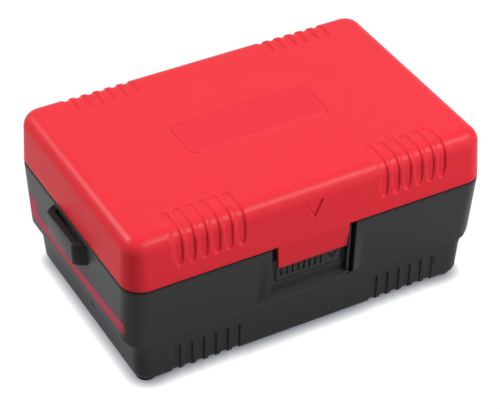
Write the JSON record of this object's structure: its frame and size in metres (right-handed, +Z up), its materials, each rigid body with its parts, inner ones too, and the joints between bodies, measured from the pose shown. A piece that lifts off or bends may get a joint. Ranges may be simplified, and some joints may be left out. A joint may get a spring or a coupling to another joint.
{
  "type": "insulation resistance tester",
  "caption": "Box-shaped insulation resistance tester: red hinged lid with grip pads and front latch over a dark grey two-tier case, with display, range knob, test button and sockets inside.",
  "frame": {"origin": "on the ground under the middle of the case, at the feet's lower face", "axes": "+X to the right along the longest side, +Y to the hinge at the rear, +Z up"},
  "size_m": [0.1588, 0.1006, 0.0706],
  "materials": {
    "red_plastic": "satin moulded, fine grain",
    "red_plate": "satin label stock",
    "grey_plastic": "satin moulded, fine grain",
    "black_plastic": "satin moulded",
    "foot_rubber": "matte",
    "film": "matte printed film",
    "clear_plastic": "clear window",
    "lcd": "display glass",
    "white_plastic": "satin",
    "board": "solder mask",
    "steel": "plated",
    "brass": "plated",
    "orange_plastic": "gloss",
    "key_grey": "satin",
    "socket_red": "gloss",
    "socket_green": "gloss",
    "ferrite": "matte",
    "winding": "taped winding",
    "capacitor_sleeve": "sleeve",
    "lead_red": "insulation",
    "cell": "sleeved cell"
  },
  "bodies": {
    "case": {"upper_case": "grey_plastic", "lower_case": "grey_plastic", "hinge_pins": "steel", "strap_lug_left": "black_plastic", "strap_lug_right": "black_plastic", "panel_overlay": "film", "lcd_window": "clear_plastic", "lcd_frame": "black_plastic", "lcd_glass": "lcd", "lcd_backlight": "white_plastic", "zebra_strips": "foot_rubber", "main_pcb": "board", "pcb_screws": "steel", "circuit_chips": "black_plastic", "switch_body": "black_plastic", "test_spring": "steel", "test_switch": "black_plastic", "key_switches": "black_plastic", "socket_line": "socket_red", "socket_guard": "socket_green", "socket_earth": "black_plastic", "socket_contacts": "brass", "socket_nuts": "steel", "socket_leads": "black_plastic", "transformer_core": "ferrite", "transformer_winding": "winding", "capacitors": "capacitor_sleeve", "buzzer": "black_plastic", "battery_tray": "black_plastic", "battery_springs": "steel", "battery_plates": "steel", "battery_leads": "lead_red", "battery_door": "grey_plastic", "battery_door_screws": "steel", "case_screws": "steel", "battery_1": "cell", "battery_2": "cell", "battery_3": "cell", "battery_4": "cell", "battery_5": "cell", "battery_6": "cell", "battery_7": "cell", "battery_8": "cell", "foot_1": "foot_rubber", "foot_2": "foot_rubber", "foot_3": "foot_rubber", "foot_4": "foot_rubber"},
    "lid": {"lid": "red_plastic", "nameplate": "red_plate"},
    "latch": {"latch_tab": "grey_plastic"},
    "selector": {"selector_knob": "black_plastic", "knob_pointer": "white_plastic", "switch_shaft": "white_plastic", "switch_wipers": "brass", "detent_balls": "steel", "detent_springs": "steel"},
    "test_key": {"test_button": "orange_plastic"},
    "light_key": {"light_button": "key_grey"},
    "hold_key": {"hold_button": "key_grey"}
  },
  "joints": [
    {"name": "lid_hinge", "type": "hinge", "parent": "case", "child": "lid", "pos_m": [0, 0.0482, 0.0456], "axis": [-1, 0, 0], "range_deg": [0, 110]},
    {"name": "latch_flex", "type": "hinge", "parent": "case", "child": "latch", "pos_m": [0, -0.0446, 0.0222], "axis": [-1, 0, 0], "range_deg": [0, 4], "stiffness_Nm_per_rad": 0.6, "springref_deg": -2.86},
    {"name": "selector_turn", "type": "hinge", "parent": "case", "child": "selector", "pos_m": [0.04, -0.01, 0.05], "axis": [0, 0, -1], "range_deg": [0, 150]},
    {"name": "test_press", "type": "slide", "parent": "case", "child": "test_key", "axis": [0, 0, -1], "range_m": [0, 0.003], "stiffness_N_per_m": 400, "springref_m": -0.003, "deforming": ["test_spring"]},
    {"name": "light_press", "type": "slide", "parent": "case", "child": "light_key", "axis": [0, 0, -1], "range_m": [0, 0.0012], "stiffness_N_per_m": 600, "springref_m": -0.001},
    {"name": "hold_press", "type": "slide", "parent": "case", "child": "hold_key", "axis": [0, 0, -1], "range_m": [0, 0.0012], "stiffness_N_per_m": 600, "springref_m": -0.001}
  ]
}
